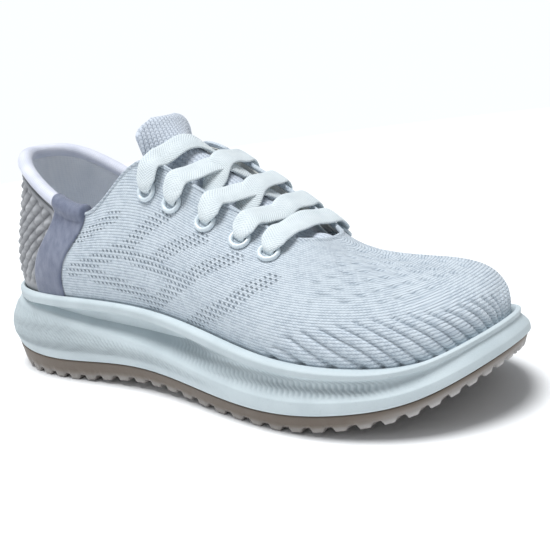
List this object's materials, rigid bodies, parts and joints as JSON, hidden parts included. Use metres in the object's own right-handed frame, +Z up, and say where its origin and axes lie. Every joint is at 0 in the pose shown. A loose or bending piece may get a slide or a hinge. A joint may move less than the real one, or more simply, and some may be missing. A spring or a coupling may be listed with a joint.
{
  "type": "running shoe",
  "caption": "Right running shoe with a knitted upper, a moulded heel cap, a padded collar, a hinged tongue, flat lacing and a sculpted foam sole with rubber tread.",
  "frame": {"origin": "on the ground, under the middle of the shoe's box", "axes": "+X from the heel to the toe, +Y to the inner (medial) side of the foot, +Z up"},
  "size_m": [0.2856, 0.1062, 0.1233],
  "materials": {
    "rubber": "satin rubber, taupe",
    "foam": "smooth moulded foam, icy white",
    "board": "plain board",
    "knit": "knitted textile, icy white",
    "heel": "moulded relief, warm grey-white",
    "strap": "smooth textile, lavender grey",
    "lining": "smooth textile, lavender white",
    "eyelet": "glossy white",
    "lace": "flat weave, white"
  },
  "bodies": {
    "shoe": {"outsole": "rubber", "midsole": "foam", "strobel_board": "board", "insole": "lining", "knit_upper": "knit", "heel_cap": "heel", "collar_roll": "lining", "heel_lining": "lining", "vamp_lining": "lining", "toe_puff": "board", "strap_lateral": "strap", "strap_medial": "strap", "eyestay_lateral": "board", "eyestay_medial": "board", "eyelet_lateral_1": "eyelet", "eyelet_lateral_2": "eyelet", "eyelet_lateral_3": "eyelet", "eyelet_lateral_4": "eyelet", "eyelet_lateral_5": "eyelet", "eyelet_medial_1": "eyelet", "eyelet_medial_2": "eyelet", "eyelet_medial_3": "eyelet", "eyelet_medial_4": "eyelet", "eyelet_medial_5": "eyelet", "lace": "lace"},
    "tongue": {"tongue_knit": "knit", "tongue_foam": "lining", "tongue_lining": "lining"}
  },
  "joints": [
    {"name": "tongue_hinge", "type": "hinge", "parent": "shoe", "child": "tongue", "pos_m": [0.0755, 0, 0.054], "axis": [0, -1, 0], "range_deg": [0, 12], "stiffness_Nm_per_rad": 0.42}
  ]
}
